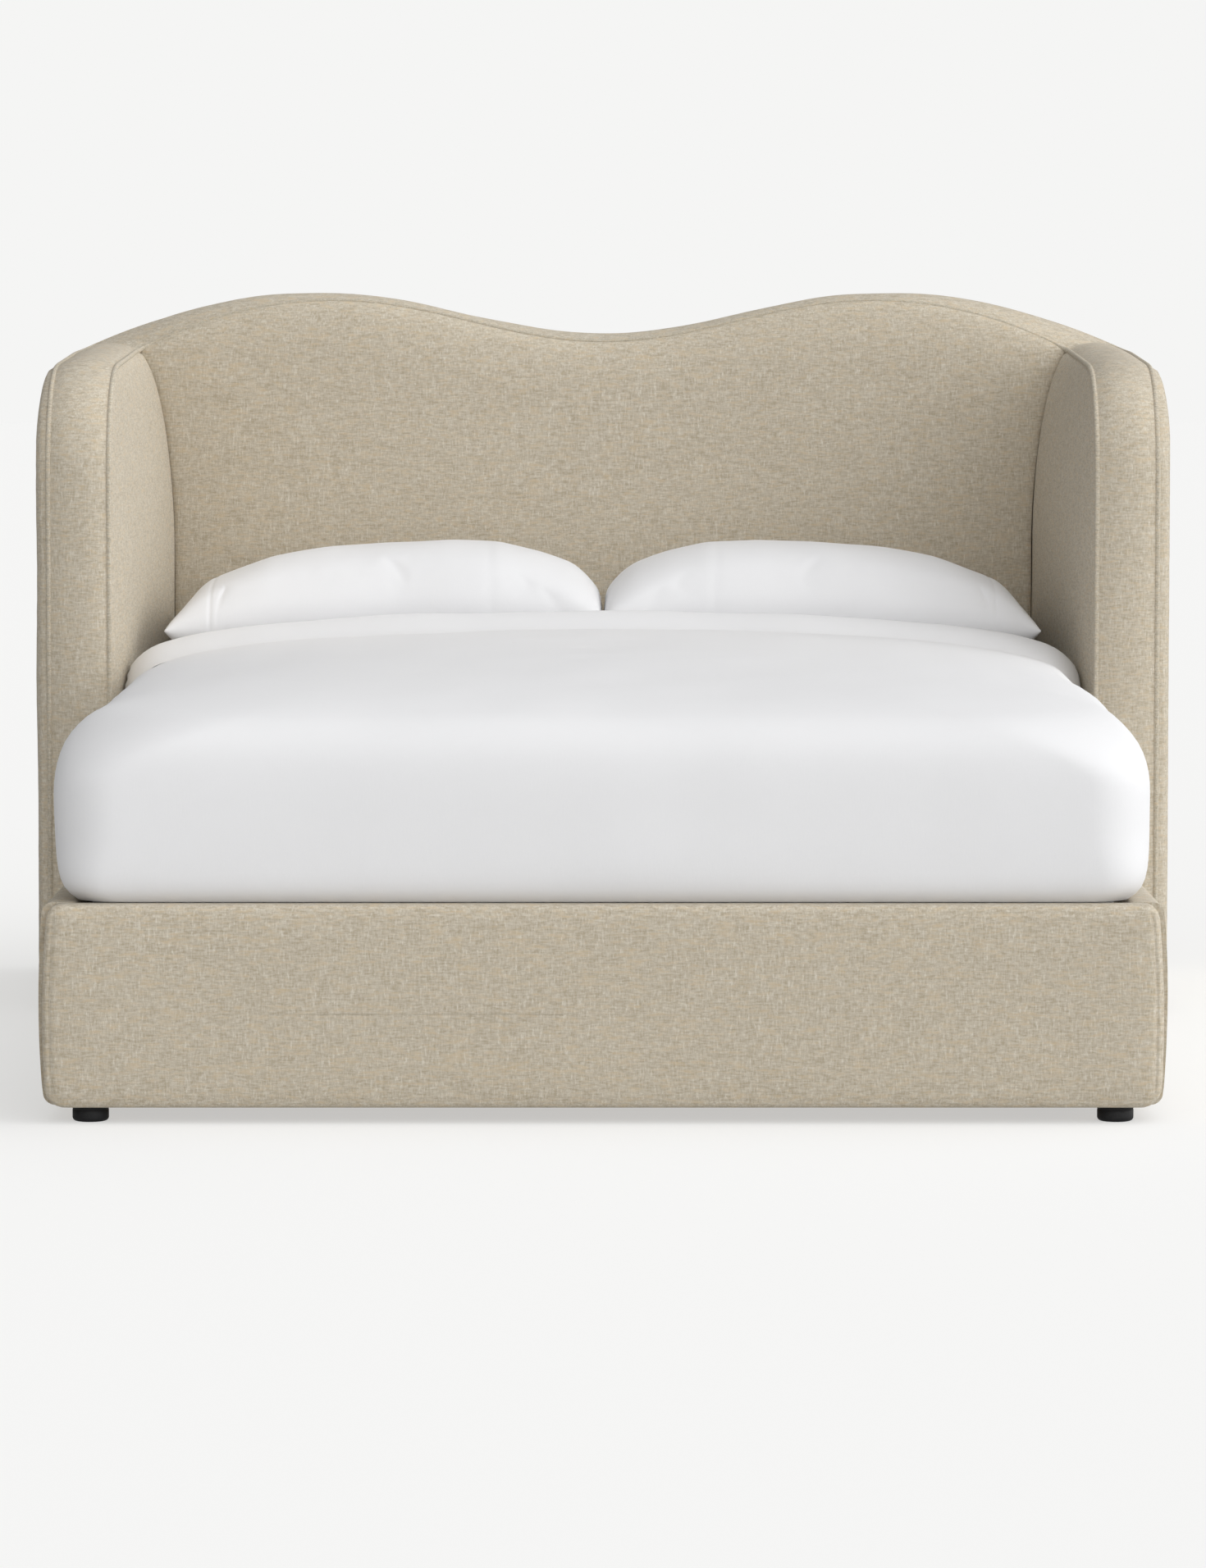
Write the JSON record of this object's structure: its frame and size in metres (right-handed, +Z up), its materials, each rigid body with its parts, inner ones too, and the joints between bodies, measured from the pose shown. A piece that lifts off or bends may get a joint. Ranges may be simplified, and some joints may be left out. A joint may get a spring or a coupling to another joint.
{
  "type": "upholstered wingback bed",
  "caption": "Queen bed with a waved upholstered headboard, deep side wings, piped border band, fabric-covered rails and footboard, made up with mattress, duvet and pillows.",
  "frame": {"origin": "on the floor, under the middle of the whole bed's box", "axes": "+Z up, +Y from the footboard to the headboard, +X across the bed"},
  "size_m": [1.9334, 2.242, 1.2316],
  "materials": {
    "linen": "matte",
    "linen_piping": "matte",
    "foam": "matte",
    "plywood": "matte",
    "softwood": "matte",
    "hardboard": "matte",
    "steel": "satin",
    "black_foot": "satin",
    "ticking": "matte",
    "cotton": "matte"
  },
  "bodies": {
    "frame": {"headboard_panel": "plywood", "headboard_left_post": "softwood", "headboard_right_post": "softwood", "headboard_top_rail": "softwood", "headboard_bottom_rail": "softwood", "headboard_back_panel": "hardboard", "headboard_foam": "foam", "headboard_front_cover": "linen", "headboard_back_cover": "linen", "border_band": "linen", "inner_piping": "linen_piping", "outer_piping": "linen_piping", "footboard_board": "plywood", "footboard_foam": "foam", "footboard_cover": "linen", "centre_beam": "softwood", "centre_leg_1": "softwood", "centre_leg_2": "softwood", "centre_leg_3": "softwood", "left_front_foot": "black_foot", "right_front_foot": "black_foot", "left_wing_foot": "black_foot", "right_wing_foot": "black_foot", "left_rear_foot": "black_foot", "right_rear_foot": "black_foot", "left_wing_frame": "plywood", "left_wing_foam": "foam", "left_wing_inner_cover": "linen", "left_wing_outer_cover": "linen", "right_wing_frame": "plywood", "right_wing_foam": "foam", "right_wing_inner_cover": "linen", "right_wing_outer_cover": "linen", "left_rail_board": "plywood", "left_rail_foam": "foam", "left_rail_cover": "linen", "left_slat_ledger": "softwood", "left_corner_block": "softwood", "left_head_bracket": "steel", "right_rail_board": "plywood", "right_rail_foam": "foam", "right_rail_cover": "linen", "right_slat_ledger": "softwood", "right_corner_block": "softwood", "right_head_bracket": "steel", "slat_01": "softwood", "slat_02": "softwood", "slat_03": "softwood", "slat_04": "softwood", "slat_05": "softwood", "slat_06": "softwood", "slat_07": "softwood", "slat_08": "softwood", "slat_09": "softwood", "slat_10": "softwood", "slat_11": "softwood"},
    "mattress": {"mattress": "ticking"},
    "duvet": {"duvet": "cotton"},
    "left_pillow": {"left_pillow": "cotton"},
    "right_pillow": {"right_pillow": "cotton"}
  },
  "joints": [
    {"name": "mattress_lift", "type": "slide", "parent": "frame", "child": "mattress", "axis": [0, 0, 1], "range_m": [0, 0.45]},
    {"name": "duvet_lift", "type": "slide", "parent": "mattress", "child": "duvet", "axis": [0, 0, 1], "range_m": [0, 0.3]},
    {"name": "left_pillow_lift", "type": "slide", "parent": "mattress", "child": "left_pillow", "axis": [0, 0, 1], "range_m": [0, 0.3]},
    {"name": "right_pillow_lift", "type": "slide", "parent": "mattress", "child": "right_pillow", "axis": [0, 0, 1], "range_m": [0, 0.3]}
  ]
}
